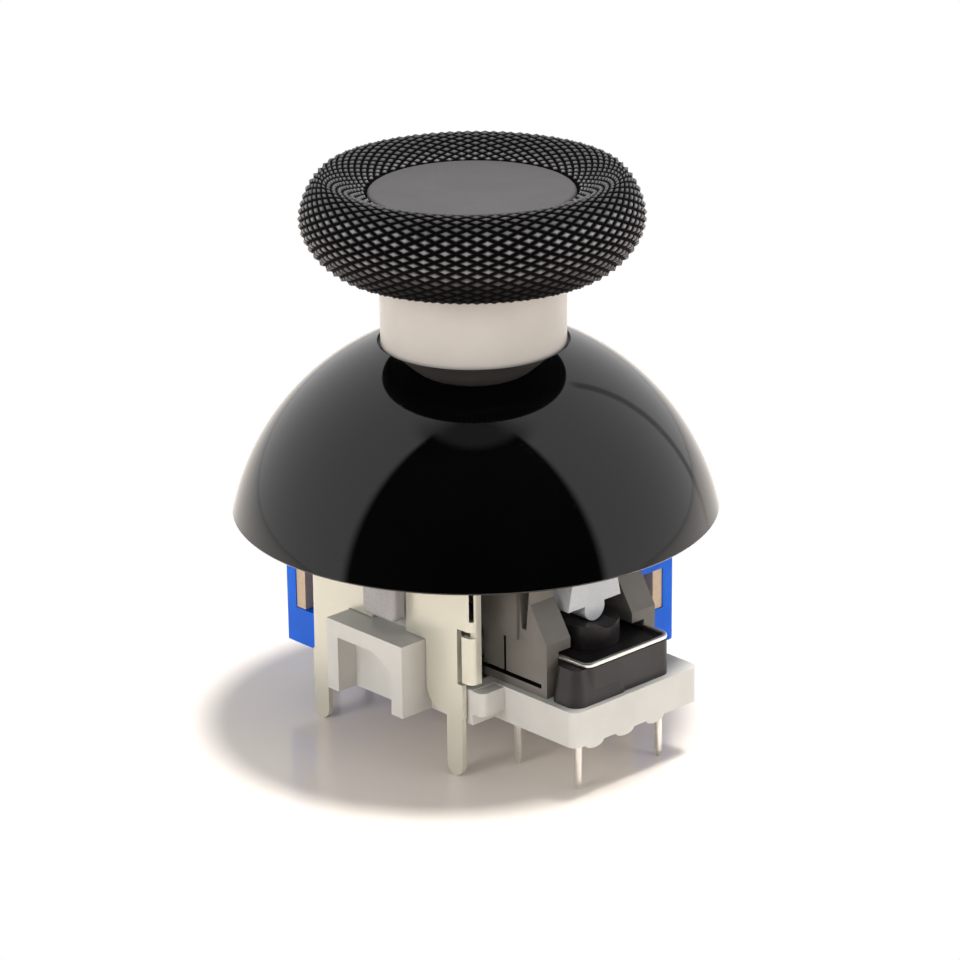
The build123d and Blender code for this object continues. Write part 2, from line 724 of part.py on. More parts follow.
# Push switch: black body with a bored top and a lug past the end of the guide's cheek at -Y
contact_crest_z = platform_top_z + switch_floor + contact_rise + button_travel - seat_gap
button_bottom_z = platform_top_z + switch_floor + contact_rise + button_travel + contact_thickness
switch_lug_start_x = guide_end_x + running_gap
switch_lug_end_x = switch_end_x + switch_lug_proud
with BuildPart() as switch_body:
    with BuildSketch(Plane.XY.offset(platform_top_z)):
        with Locations((switch_x, 0)):
            RectangleRounded(switch_length, switch_width, switch_corner)
    extrude(amount=switch_height)
    with BuildSketch(Plane.XY.offset(platform_top_z)):
        with Locations((0.5 * (switch_lug_start_x + switch_lug_end_x), 0.5 * switch_lug_y)):
            RectangleRounded(switch_lug_end_x - switch_lug_start_x, -switch_lug_y, switch_lug_round)
    extrude(amount=switch_height, taper=switch_lug_draft)
    with BuildSketch(Plane.XY.offset(platform_top_z + switch_floor)):
        with Locations((switch_x, 0)):
            Circle(button_radius + button_flange + 2 * running_gap)
    extrude(
        amount=button_bottom_z + button_flange_height + running_gap - platform_top_z - switch_floor,
        mode=Mode.SUBTRACT,
    )
    with BuildSketch(Plane.XY.offset(platform_top_z + switch_floor)):
        with Locations((switch_x, 0)):
            Circle(button_radius + running_gap)
    extrude(amount=switch_height, mode=Mode.SUBTRACT)
write(switch_body.part, "switch_body")

# Bright rim round the top of the switch
with BuildPart() as switch_cover:
    with BuildSketch(Plane.XY.offset(switch_top_z)):
        with Locations((switch_x, 0)):
            RectangleRounded(switch_length, switch_width, switch_corner)
            RectangleRounded(
                switch_length - 2 * cover_rim,
                switch_width - 2 * cover_rim,
                switch_corner - 0.5 * cover_rim,
                mode=Mode.SUBTRACT,
            )
    extrude(amount=cover_height)
    fillet(switch_cover.faces().sort_by(Axis.Z)[-1].edges(), 0.25 * cover_rim)
write(switch_cover.part, "switch_cover")

# Button, with a saddle in its top that the nose of the lower arm rolls in
with BuildPart() as switch_plunger:
    with BuildSketch(Plane.XY.offset(button_bottom_z)):
        with Locations((switch_x, 0)):
            Circle(button_radius + button_flange)
    extrude(amount=button_flange_height)
    with BuildSketch(Plane.XY.offset(button_bottom_z)):
        with Locations((switch_x, 0)):
            Circle(button_radius)
    extrude(amount=button_top_z - button_bottom_z)
    with BuildSketch(Plane.YZ.offset(switch_x - 2 * button_radius)):
        with Locations((0, pivot_z)):
            Circle(nose_reach + running_gap)
    extrude(amount=4 * button_radius, mode=Mode.SUBTRACT)
write(switch_plunger.part, "switch_plunger")

# Snap dome below the button
contact_radius = button_radius + 0.5 * button_flange
with BuildPart() as switch_contact:
    with BuildSketch(Plane.XZ):
        with BuildLine():
            lower_bow = ThreePointArc(
                (switch_x - contact_radius, platform_top_z + switch_floor),
                (switch_x, contact_crest_z),
                (switch_x + contact_radius, platform_top_z + switch_floor),
            )
            upper_bow = ThreePointArc(
                (switch_x + contact_radius, platform_top_z + switch_floor + contact_thickness),
                (switch_x, contact_crest_z + contact_thickness),
                (switch_x - contact_radius, platform_top_z + switch_floor + contact_thickness),
            )
            Line(lower_bow @ 1, upper_bow @ 0)
            Line(upper_bow @ 1, lower_bow @ 0)
        make_face()
    extrude(amount=0.5 * contact_radius, both=True)
write(switch_contact.part, "switch_contact")

# Four pins of the switch, each with a tapered point and a shoulder that passes the base and its lobes
with BuildPart() as switch_pins:
    with BuildSketch(Plane.XY.offset(pin_shoulder_bottom_z)):
        with Locations((switch_x, 0)):
            with GridLocations(pin_spacing_x, pin_spacing_y, 2, 2):
                Circle(pin_shoulder_radius)
    extrude(amount=platform_top_z - pin_shoulder_bottom_z)
    with BuildSketch(Plane.XY):
        with Locations((switch_x, 0)):
            with GridLocations(pin_spacing_x, pin_spacing_y, 2, 2):
                Circle(pin_radius)
    extrude(amount=pin_shoulder_bottom_z)
    chamfer(switch_pins.edges().filter_by(GeomType.CIRCLE).group_by(Axis.Z)[0], pin_point, 0.5 * pin_radius)
write(switch_pins.part, "switch_pins")

# Switch guide: block with a channel for the lower arm and two sloping cheeks beside the switch
with BuildPart() as switch_guide:
    with BuildSketch(Plane.XZ.offset(-guide_half_width)):
        with BuildLine():
            Polyline(
                (guide_start_x, platform_top_z),
                (guide_end_x, platform_top_z),
                (guide_end_x, cheek_shoulder_z),
                (guide_end_x - cheek_slope_length, cheek_shoulder_z + cheek_slope * cheek_slope_length),
                (guide_end_x - cheek_slope_length, guide_top_z),
                (guide_start_x, guide_top_z),
                close=True,
            )
        make_face()
        with BuildLine():
            Polyline(
                (notch_x - notch_bottom_half_width, notch_bottom_z),
                (notch_x + notch_bottom_half_width, notch_bottom_z),
                (notch_x + notch_half_width, guide_top_z),
                (notch_x - notch_half_width, guide_top_z),
                close=True,
            )
        make_face(mode=Mode.SUBTRACT)
    extrude(amount=2 * guide_half_width)
    with BuildSketch(Plane.YZ.offset(guide_start_x)):
        with Locations((0, 0.5 * (switch_top_z + cover_height + guide_top_z) + running_gap)):
            Rectangle(2 * guide_channel_half, guide_top_z - switch_top_z - cover_height)
    extrude(amount=guide_end_x - guide_start_x, mode=Mode.SUBTRACT)
    # Pocket that the switch sits in
    with BuildSketch(Plane.XY.offset(platform_top_z)):
        with Locations((switch_x, 0)):
            Rectangle(switch_length + 2 * seat_gap, switch_width + 2 * seat_gap)
    extrude(amount=switch_height + cover_height + running_gap, mode=Mode.SUBTRACT)
    # On both sides a raised pad, a long slot and a thin upright groove
    for side in (1, -1):
        with BuildSketch(Plane.XZ.offset(side * guide_half_width)):
            guide_pad_z = 0.5 * (guide_pad_bottom_z + guide_top_z)
            with Locations((0.5 * (guide_start_x + guide_pad_end_x), guide_pad_z)):
                Rectangle(guide_pad_end_x - guide_start_x, guide_top_z - guide_pad_bottom_z)
        extrude(amount=side * guide_pad_proud)
        with BuildSketch(Plane.XZ.offset(side * guide_half_width)):
            with Locations(
                (0.5 * (guide_start_x + guide_slot_end_x), guide_slot_bottom_z + 0.5 * guide_slot_height)
            ):
                Rectangle(guide_slot_end_x - guide_start_x, guide_slot_height)
            with Locations((frame_half, 0.5 * (guide_slot_bottom_z + guide_pad_bottom_z))):
                Rectangle(guide_groove_width, guide_pad_bottom_z - guide_slot_bottom_z)
        extrude(amount=-side * guide_slot_depth, mode=Mode.SUBTRACT)
write(switch_guide.part, "switch_guide")

# Housing of a sensor: moulded box, open at both sides where the edge of the track board shows
with BuildPart() as sensor_housing:
    with BuildSketch(Plane.YZ.offset(sensor_inner)):
        with BuildLine():
            Polyline(
                (-sensor_half_width, sensor_bottom_z),
                (sensor_half_width, sensor_bottom_z),
                (sensor_half_width, sensor_top_z - sensor_top_round),
                (sensor_half_width - sensor_top_round, sensor_top_z),
                (sensor_top_round - sensor_half_width, sensor_top_z),
                (-sensor_half_width, sensor_top_z - sensor_top_round),
                close=True,
            )
        make_face()
    extrude(amount=sensor_outer - sensor_inner)
    fillet(sensor_housing.faces().sort_by(Axis.X)[-1].edges(), sensor_edge_round)
    # Turned cavity of the rotor and the hole of its hub
    with BuildSketch(Plane.YZ.offset(cavity_inner)):
        with Locations((0, pivot_z)):
            Circle(rotor_radius + board_gap)
    extrude(amount=track_inner - cavity_inner, mode=Mode.SUBTRACT)
    with BuildSketch(Plane.YZ.offset(sensor_inner)):
        with Locations((0, pivot_z)):
            Circle(rotor_hub_radius + running_gap)
    extrude(amount=cavity_inner - sensor_inner, mode=Mode.SUBTRACT)
    # Pocket of the track board
    with BuildSketch(Plane.YZ.offset(track_inner)):
        with Locations((0, pivot_z)):
            Circle(track_board_radius)
        with Locations((0, 0.5 * (sensor_window_bottom_z + sensor_window_top_z))):
            Rectangle(2 * sensor_half_width, sensor_window_top_z - sensor_window_bottom_z)
    extrude(amount=track_board, mode=Mode.SUBTRACT)
    with BuildSketch(Plane.YZ.offset(sensor_window_inner)):
        with Locations((0, 0.5 * (sensor_window_bottom_z + sensor_window_top_z))):
            Rectangle(2 * sensor_half_width, sensor_window_top_z - sensor_window_bottom_z)
    extrude(amount=track_inner - sensor_window_inner, mode=Mode.SUBTRACT)
    # Slots of the terminals
    with BuildSketch(Plane.XY.offset(sensor_bottom_z)):
        with Locations((track_inner + 0.5 * track_board, 0)):
            with GridLocations(terminal_thickness, terminal_pitch, 1, terminals):
                Rectangle(terminal_thickness + 2 * seat_gap, terminal_width + 2 * seat_gap)
    extrude(amount=sensor_window_bottom_z - sensor_bottom_z, mode=Mode.SUBTRACT)

# Track board of a sensor, round above a wide lower edge
with BuildPart() as sensor_board:
    with BuildSketch(Plane.YZ.offset(track_inner)):
        with Locations((0, pivot_z)):
            Circle(track_board_radius - seat_gap)
        with Locations((0, 0.5 * (sensor_window_bottom_z + sensor_window_top_z))):
            Rectangle(
                2 * track_board_half_width, sensor_window_top_z - sensor_window_bottom_z - 2 * seat_gap
            )
    extrude(amount=track_board)

# Rotor of a sensor, with the slot of the arm's tang
with BuildPart() as sensor_rotor:
    with BuildSketch(Plane.YZ.offset(rotor_inner)):
        with Locations((0, pivot_z)):
            Circle(rotor_radius)
    extrude(amount=rotor_thickness)
    with BuildSketch(Plane.YZ.offset(sensor_inner)):
        with Locations((0, pivot_z)):
            Circle(rotor_hub_radius)
    extrude(amount=rotor_inner - sensor_inner)
    with BuildSketch(Plane.YZ.offset(sensor_inner)):
        with Locations((0, pivot_z)):
            SlotOverall(2 * (tang_half_width + running_gap), 2 * (tang_half_height + running_gap))
    extrude(amount=tang_end + running_gap - sensor_inner, mode=Mode.SUBTRACT)

# Wiper of a sensor: spring ring on the rotor, with two dimples against the tracks
with BuildPart() as sensor_wiper:
    with BuildSketch(Plane.YZ.offset(rotor_outer)):
        with Locations((0, pivot_z)):
            Circle(wiper_outer_radius)
            Circle(wiper_inner_radius, mode=Mode.SUBTRACT)
    extrude(amount=wiper_thickness)
    with BuildSketch(Plane.YZ.offset(rotor_outer + wiper_thickness)):
        with Locations((0, pivot_z)):
            with PolarLocations(0.5 * (wiper_inner_radius + wiper_outer_radius), 2):
                Circle(wiper_dimple_radius)
    extrude(amount=board_gap - wiper_thickness - running_gap)

# Three terminals of a sensor, from its board down into the circuit board
with BuildPart() as sensor_terminals:
    with BuildSketch(Plane.XY.offset(terminal_tip_z)):
        with Locations((track_inner + 0.5 * track_board, 0)):
            with GridLocations(terminal_thickness, terminal_pitch, 1, terminals):
                Rectangle(terminal_thickness, terminal_width)
    extrude(amount=sensor_window_bottom_z - terminal_tip_z)

# The two sensors are alike: one at -X, one at +Y
for axis_name, turn in (("x", 180), ("y", 90)):
    for piece_name, drawn in (
        ("housing", sensor_housing),
        ("board", sensor_board),
        ("rotor", sensor_rotor),
        ("wiper", sensor_wiper),
        ("terminals", sensor_terminals),
    ):
        write(drawn.part.rotate(Axis.Z, turn), f"{axis_name}_pot_{piece_name}")
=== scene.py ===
import math
import bpy
from mathutils import Matrix, Vector


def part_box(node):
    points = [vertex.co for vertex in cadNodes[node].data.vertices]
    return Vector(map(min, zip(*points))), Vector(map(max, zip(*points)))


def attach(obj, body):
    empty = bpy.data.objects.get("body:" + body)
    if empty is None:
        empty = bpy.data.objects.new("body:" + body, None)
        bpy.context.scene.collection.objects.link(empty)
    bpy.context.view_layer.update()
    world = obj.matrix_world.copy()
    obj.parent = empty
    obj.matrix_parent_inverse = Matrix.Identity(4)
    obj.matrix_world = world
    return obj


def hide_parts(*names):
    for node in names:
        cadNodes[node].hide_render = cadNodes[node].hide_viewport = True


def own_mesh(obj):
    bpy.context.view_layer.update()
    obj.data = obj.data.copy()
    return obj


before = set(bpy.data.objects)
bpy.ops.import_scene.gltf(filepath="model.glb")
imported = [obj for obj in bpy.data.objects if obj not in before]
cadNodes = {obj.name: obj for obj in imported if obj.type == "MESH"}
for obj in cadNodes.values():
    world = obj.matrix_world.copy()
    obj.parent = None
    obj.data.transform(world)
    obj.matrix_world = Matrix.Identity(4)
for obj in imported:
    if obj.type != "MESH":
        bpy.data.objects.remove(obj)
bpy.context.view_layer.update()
mm = 0.001


# Shader graphs

class Wire:
    # one output of a shader graph, for use in plain sums
    def __init__(self, graph, socket):
        self.graph = graph
        self.socket = socket

    def maths(self, operation, *others):
        return self.graph.maths(operation, self, *others)

    def __add__(self, other):
        return self.maths("ADD", other)

    def __radd__(self, other):
        return self.graph.maths("ADD", other, self)

    def __sub__(self, other):
        return self.maths("SUBTRACT", other)

    def __rsub__(self, other):
        return self.graph.maths("SUBTRACT", other, self)

    def __mul__(self, other):
        return self.maths("MULTIPLY", other)

    def __rmul__(self, other):
        return self.graph.maths("MULTIPLY", other, self)


class Graph:
    # the nodes of one material, or of the world
    def __init__(self, owner):
        owner.use_nodes = True
        self.tree = owner.node_tree
        self.tree.nodes.clear()

    def add(self, kind, settings=None, inputs=None, output=0):
        # inputs are values or wires; output names one output, or a tuple of several
        node = self.tree.nodes.new(kind)
        for name, value in (settings or {}).items():
            setattr(node, name, value)
        for name, value in (inputs or {}).items():
            if isinstance(value, Wire):
                self.tree.links.new(value.socket, node.inputs[name])
            else:
                node.inputs[name].default_value = value
        if isinstance(output, tuple):
            return [Wire(self, node.outputs[name]) for name in output]
        return Wire(self, node.outputs[output]) if node.outputs else None

    def maths(self, operation, *values):
        return self.add("ShaderNodeMath", {"operation": operation}, dict(enumerate(values)))

    def place(self):
        return self.add("ShaderNodeTexCoord", output="Object")

    def apart(self, vector):
        return self.add("ShaderNodeSeparateXYZ", inputs={"Vector": vector}, output=("X", "Y", "Z"))

    def noise(self, scale, detail, vector=None):
        inputs = {"Vector": vector or self.place(), "Scale": scale, "Detail": detail}
        return self.add("ShaderNodeTexNoise", inputs=inputs)

    def drawn(self, detail, across, along):
        # noise drawn out; across counts along X and Y, along counts along Z
        inputs = {"Vector": self.place(), "Scale": (across, across, along)}
        return self.noise(1.0, detail, self.add("ShaderNodeMapping", inputs=inputs))

    def smooth(self, value, low, high, first=0.0, last=1.0):
        settings = {"interpolation_type": "SMOOTHSTEP"}
        inputs = {"Value": value, "From Min": low, "From Max": high, "To Min": first, "To Max": last}
        return self.add("ShaderNodeMapRange", settings, inputs)

    def fade(self, value, low, high):
        return self.smooth(value, low, high, 1.0, 0.0)

    def blend(self, factor, first, last):
        inputs = {0: factor, 6: first, 7: last}
        return self.add("ShaderNodeMix", {"data_type": "RGBA"}, inputs, output=2)

    def bump(self, height, depth):
        return self.add("ShaderNodeBump", inputs={"Height": height, "Distance": depth * mm})

    def principled(self, inputs):
        return self.add("ShaderNodeBsdfPrincipled", inputs=inputs)

    def mixShaders(self, factor, first, last):
        return self.add("ShaderNodeMixShader", inputs={0: factor, 1: first, 2: last})

    def show(self, surface, kind="ShaderNodeOutputMaterial"):
        self.add(kind, inputs={"Surface": surface})


def newMaterial(name):
    material = bpy.data.materials.new(name)
    return material, Graph(material)


def tint(red, green, blue):
    return (red, green, blue, 1.0)


# Finishes; a scale counts the repeats of a pattern in a metre, and a depth is in mm

plastic = {
    "cloudScale": 420.0,      # faint clouds in the colour
    "toolScale": 10400.0,     # fine texture from the tool
    "toolDepth": 0.0016,
    "sinkScale": 260.0,       # slow sink marks
    "sinkDepth": 0.006,
    # painted shade: a near black laid where a slit lies in shade
    "slit": tint(0.004, 0.004, 0.004),
}


def mouldedPlastic(name, dark, light, gloss, shine=0.5, shadow=None):
    # shadow, a function of the graph, tells how far a place lies in the painted shade of a slit
    material, graph = newMaterial(name)
    clouds = graph.noise(plastic["cloudScale"], 4.0)
    tool = graph.noise(plastic["toolScale"], 2.0)
    sinks = graph.noise(plastic["sinkScale"], 1.0)
    height = tool * plastic["toolDepth"] + sinks * plastic["sinkDepth"]
    colour = graph.blend(graph.smooth(clouds, 0.35, 0.65), dark, light)
    if shadow:
        # painted shade: places in a slit take the near black colour
        colour = graph.blend(shadow(graph), colour, plastic["slit"])
    graph.show(graph.principled({
        "Base Color": colour,
        "Roughness": graph.smooth(tool, 0.3, 0.7, gloss - 0.04, gloss + 0.05),
        "Specular IOR Level": shine,
        "Normal": graph.bump(height, 1.0),
    }))
    return material


def domeGloss():
    values = {
        "colour": tint(0.0008, 0.0008, 0.0009),
        "haze": tint(0.0016, 0.0016, 0.0018),
        "gloss": 0.035,
        "speckGloss": 0.155,
        "speckScale": 5200.0,
        "waveScale": 110.0,
        "waveDepth": 0.02,
    }
    material, graph = newMaterial("domeGloss")
    waves = graph.noise(values["waveScale"], 1.0)
    specks = graph.noise(values["speckScale"], 1.0)
    graph.show(graph.principled({
        "Base Color": graph.blend(graph.smooth(waves, 0.3, 0.7), values["colour"], values["haze"]),
        "Roughness": graph.smooth(specks, 0.66, 0.74, values["gloss"], values["speckGloss"]),
        "Normal": graph.bump(waves, values["waveDepth"]),
    }))
    return material


def knurlBlack():
    # black anodising, satin on the points; the grooves are painted dark and dull as shade, the underside
    # is painted darker as shade, and the points carry a painted highlight
    values = {
        "groove": tint(0.0015, 0.0014, 0.0015),
        "nub": tint(0.040, 0.038, 0.040),
        "shaded": tint(0.010, 0.009, 0.010),
        "paintedHighlight": tint(0.24, 0.235, 0.24),
        "shadedTop": (26.7, 27.8),    # the painted shade of the underside ends between these heights, mm
        "highlightFade": (29.0, 29.9),      # the painted highlight on the points grows faint between these heights
        "gloss": (0.29, 0.40),
        "grooveGloss": 0.9,
        "cloudScale": 900.0,
        "grainScale": 9000.0,
        "grainDepth": 0.004,
    }
    material, graph = newMaterial("knurlBlack")
    clouds = graph.noise(values["cloudScale"], 3.0)
    height = graph.add("ShaderNodeAttribute", {"attribute_name": "tip"}, output="Fac")
    up = graph.apart(graph.place())[2]
    above = graph.smooth(up, *[level * mm for level in values["shadedTop"]])
    # painted highlight: the points are painted lighter in a band of heights, where light catches them
    highlightBand = above * graph.smooth(up, *[level * mm for level in values["highlightFade"]], 1.0, 0.2)
    tipHighlight = graph.smooth(height + clouds * 0.3 - 0.15, 0.45, 0.85) * highlightBand
    # painted shade: below these heights the nubs are painted darker, as shade on the underside
    colour = graph.blend(above, values["shaded"], values["nub"])
    # painted shade: the grooves are near black and dull, standing in for the shade between the points
    grooveShade = graph.principled({
        "Base Color": values["groove"],
        "Roughness": values["grooveGloss"],
        "Specular IOR Level": 0.1,
    })
    nub = graph.principled({
        "Base Color": graph.blend(tipHighlight, colour, values["paintedHighlight"]),
        "Roughness": graph.smooth(clouds, 0.35, 0.65, *values["gloss"]),
        "Normal": graph.bump(graph.noise(values["grainScale"], 2.0), values["grainDepth"]),
    })
    graph.show(graph.mixShaders(graph.smooth(height, 0.26, 0.62), grooveShade, nub))
    return material


def padSatin():
    # blasted and anodised disc with a fine even grain
    values = {
        "dark": tint(0.066, 0.062, 0.065),
        "light": tint(0.080, 0.075, 0.078),
        "gloss": (0.5, 0.58),
        "metal": 0.25,
        "cloudScale": 240.0,
        "grainScale": 14000.0,
        "grainDepth": 0.015,
    }
    material, graph = newMaterial("padSatin")
    clouds = graph.noise(values["cloudScale"], 3.0)
    grain = graph.noise(values["grainScale"], 2.0)
    graph.show(graph.principled({
        "Base Color": graph.blend(clouds, values["dark"], values["light"]),
        "Metallic": values["metal"],
        "Roughness": graph.smooth(clouds, 0.3, 0.7, *values["gloss"]),
        "Normal": graph.bump(grain, values["grainDepth"]),
    }))
    return material


def platedSheet():
    # thin plating on rolled sheet: warm and bright, with faint rolling lines
    values = {
        "dark": tint(0.68, 0.655, 0.55),
        "light": tint(0.73, 0.705, 0.605),
        "gloss": (0.30, 0.40),
        "metal": 0.4,
        "cloudScale": 500.0,
        "lineScale": (900.0, 9000.0),
        "lineDepth": 0.0012,
    }
    material, graph = newMaterial("platedSheet")
    lines = graph.drawn(3.0, *values["lineScale"])
    clouds = graph.noise(values["cloudScale"], 4.0)
    graph.show(graph.principled({
        "Base Color": graph.blend(clouds, values["dark"], values["light"]),
        "Metallic": values["metal"],
        "Roughness": graph.smooth(lines * 0.6 + clouds * 0.4, 0.35, 0.65, *values["gloss"]),
        "Normal": graph.bump(lines, values["lineDepth"]),
    }))
    return material


metal = {"cloudScale": 900.0, "drawnScale": (5200.0, 900.0), "drawnDepth": 0.001}


def brightMetal(name, dark, light, gloss):
    material, graph = newMaterial(name)
    drawn = graph.drawn(3.0, *metal["drawnScale"])
    clouds = graph.noise(metal["cloudScale"], 3.0)
    graph.show(graph.principled({
        "Base Color": graph.blend(clouds, dark, light),
        "Metallic": 1.0,
        "Roughness": graph.smooth(drawn, 0.35, 0.65, gloss - 0.05, gloss + 0.08),
        "Normal": graph.bump(drawn, metal["drawnDepth"]),
    }))
    return material


def trackBoard():
    # pressed paper board: warm, with short fibres
    values = {
        "dark": tint(0.52, 0.37, 0.24),
        "light": tint(0.78, 0.62, 0.45),
        "gloss": (0.5, 0.66),
        "cloudScale": 700.0,
        "fibreScale": (2200.0, 5200.0),
        "fibreDepth": 0.005,
    }
    material, graph = newMaterial("trackBoard")
    fibres = graph.drawn(5.0, *values["fibreScale"])
    clouds = graph.noise(values["cloudScale"], 4.0)
    graph.show(graph.principled({
        "Base Color": graph.blend(fibres * 0.6 + clouds * 0.4, values["dark"], values["light"]),
        "Roughness": graph.smooth(clouds, 0.3, 0.7, *values["gloss"]),
        "Normal": graph.bump(fibres, values["fibreDepth"]),
    }))
    return material


# painted shade: the base is painted dark behind the slits of the sheet frame, and the guide in its own
# slits; all in mm
slits = {
    "wall": 6.05,             # half width of the base that is painted dark
    "wallStart": 4.5,
    "wallFoot": 5.05,
    "guideSide": 3.90,        # half width of the guide that is painted dark
    "long": (5.40, 5.65),     # heights of the long slit
    "longEnd": 9.0,
    "upright": (6.21, 6.39),  # reach of the upright groove along X
    "uprightTop": 7.70,
    "edge": 0.02,             # how softly the painted shade of a slit begins
    "footEdge": 0.1,
}


def inside(graph, value, low, high):
    # 1 between low and high (mm), 0 elsewhere
    above = graph.smooth(value, (low - slits["edge"]) * mm, low * mm)
    return above * graph.fade(value, high * mm, (high + slits["edge"]) * mm)


def baseShadow(graph):
    x, y, z = graph.apart(graph.place())
    wall, foot = slits["wall"], slits["wallFoot"]
    wide = inside(graph, x, slits["wallStart"], wall) * inside(graph, y, -wall, wall)
    return wide * graph.smooth(z, foot * mm, (foot + slits["footEdge"]) * mm)


def guideShadow(graph):
    x, y, z = graph.apart(graph.place())
    long = inside(graph, z, *slits["long"]) * inside(graph, x, 0, slits["longEnd"])
    upright = inside(graph, x, *slits["upright"]) * inside(graph, z, slits["long"][0], slits["uprightTop"])
    return inside(graph, y, -slits["guideSide"], slits["guideSide"]) * long.maths("MAXIMUM", upright)


plastics = {
    # name of the material, darker and lighter tint, roughness, then shine and shadow where they differ
    "sleeve": ("sleeveCream", tint(0.62, 0.576, 0.53), tint(0.645, 0.60, 0.553), 0.34),
    "base": ("baseCream", tint(0.60, 0.585, 0.55), tint(0.635, 0.62, 0.585), 0.36, 0.5, baseShadow),
    "arm": ("armGrey", tint(0.36, 0.345, 0.35), tint(0.40, 0.385, 0.39), 0.3),
    # painted light: a lighter, bluer copy of the arm plastic for the lower arm, brightened to make up for
    # the shade under the dome
    "armLit": ("armGreyLit", tint(0.62, 0.635, 0.67), tint(0.68, 0.695, 0.73), 0.3),
    "guide": ("guideGrey", tint(0.15, 0.138, 0.12), tint(0.175, 0.163, 0.145), 0.4, 0.5, guideShadow),
    "switch": ("switchBlack", tint(0.012, 0.0105, 0.0115), tint(0.020, 0.017, 0.019), 0.42),
    "blue": ("sensorBlue", tint(0.003, 0.125, 0.72), tint(0.004, 0.145, 0.80), 0.4, 0.2),
    "white": ("rotorWhite", tint(0.62, 0.62, 0.60), tint(0.74, 0.74, 0.72), 0.4),
}

metals = {
    "tin": ("tinnedPins", tint(0.80, 0.77, 0.72), tint(0.86, 0.83, 0.78), 0.34),
    "rim": ("switchRim", tint(0.84, 0.82, 0.79), tint(0.90, 0.88, 0.85), 0.36),
    "steel": ("springSteel", tint(0.42, 0.42, 0.42), tint(0.56, 0.56, 0.56), 0.28),
    "brass": ("wiperBrass", tint(0.62, 0.46, 0.20), tint(0.74, 0.58, 0.30), 0.3),
}

finishes = {
    "knurl": knurlBlack(),
    "pad": padSatin(),
    "dome": domeGloss(),
    "board": trackBoard(),
    "sheet": platedSheet(),
}
for name, values in plastics.items():
    finishes[name] = mouldedPlastic(*values)
for name, values in metals.items():
    finishes[name] = brightMetal(*values)

# a piece of either sensor goes by the end of its name
nodeFinish = {
    "thumb_grip": "knurl",
    "thumb_pad": "pad",
    "neck_sleeve": "sleeve",
    "dome_skirt": "dome",
    "lever": "arm",
    "lower_arm": "armLit",
    "upper_arm": "arm",
    "frame_shell": "sheet",
    "base": "base",
    "return_plate": "arm",
    "return_spring": "steel",
    "switch_guide": "guide",
    "switch_body": "switch",
    "switch_cover": "rim",
    "switch_plunger": "switch",
    "switch_contact": "steel",
    "switch_pins": "tin",
    "housing": "blue",
    "board": "board",
    "rotor": "white",
    "wiper": "brass",
    "terminals": "tin",
}


def dress(piece, finish):
    piece.data.materials.clear()
    piece.data.materials.append(finishes[finish])


for name, piece in cadNodes.items():
    dress(piece, nodeFinish[name.split("_pot_")[-1]])
print("finishes on", len(cadNodes), "nodes")


# Pieces modelled here

weld = 0.001 * mm             # points nearer than this are one


def deselectAll():
    bpy.ops.object.select_all(action="DESELECT")


def pickVertices(mesh, chosen):
    # selects vertices by number, from object mode
    bpy.ops.object.mode_set(mode="EDIT")
    bpy.ops.mesh.select_mode(type="VERT")
    bpy.ops.mesh.select_all(action="DESELECT")
    bpy.ops.object.mode_set(mode="OBJECT")
    for vertex in mesh.vertices:
        vertex.select = vertex.index in chosen


# a section in the XZ plane is a list of knots: x, z, handle before and handle after, all in mm

def corner(x, z):
    # a knot where the section turns sharply
    return (x, z, (0, 0), (0, 0))


def bend(x, z, alongX, alongZ):
    # a knot that the section passes smoothly
    return (x, z, (alongX, alongZ), (alongX, alongZ))


def arcKnots(radius, height, first, last, spans=3):
    # an arc centred on the stick's axis, between two angles in radians
    step = (last - first) / spans
    reach = 4 / 3 * math.tan(step / 4) * radius
    knots = []
    for number in range(spans + 1):
        angle = first + number * step
        along = (-math.sin(angle) * reach, math.cos(angle) * reach)
        before = along if number > 0 else (0, 0)
        after = along if number < spans else (0, 0)
        knots.append((radius * math.cos(angle), height + radius * math.sin(angle), before, after))
    return knots


def sectionCurve(name, knots, steps, closed=False):
    # a chain of edges along a section in the XZ plane
    bpy.ops.curve.primitive_bezier_curve_add(location=(0, 0, 0))
    curve = bpy.context.object
    curve.name = name
    spline = curve.data.splines[0]
    spline.bezier_points.add(len(knots) - 2)
    spline.resolution_u = steps
    spline.use_cyclic_u = closed
    for knot, (x, z, before, after) in zip(spline.bezier_points, knots):
        knot.handle_left_type = "FREE"
        knot.handle_right_type = "FREE"
        knot.co = (x * mm, 0, z * mm)
        knot.handle_left = ((x - before[0]) * mm, 0, (z - before[1]) * mm)
        knot.handle_right = ((x + after[0]) * mm, 0, (z + after[1]) * mm)
    bpy.ops.object.convert(target="MESH")
    return bpy.context.object


def spinRound(piece, steps):
    # turns the section round the stick's axis and closes the seam
    screw = piece.modifiers.new("turned", "SCREW")
    screw.axis = "Z"
    screw.angle = 2 * math.pi
    screw.steps = steps
    screw.render_steps = steps
    screw.use_merge_vertices = True
    screw.merge_threshold = weld
    bpy.ops.object.modifier_apply(modifier="turned")


def thinStraights():
    # drops the points in the straight stretches of a section
    bpy.ops.object.mode_set(mode="EDIT")
    bpy.ops.mesh.select_all(action="SELECT")
    bpy.ops.mesh.dissolve_limited(angle_limit=math.radians(0.4))
    bpy.ops.object.mode_set(mode="OBJECT")


def pointOutwards():
    # merges what lies together, and turns the faces outwards
    bpy.ops.object.mode_set(mode="EDIT")
    bpy.ops.mesh.select_all(action="SELECT")
    bpy.ops.mesh.remove_doubles(threshold=weld)
    bpy.ops.mesh.normals_make_consistent(inside=False)
    bpy.ops.object.mode_set(mode="OBJECT")


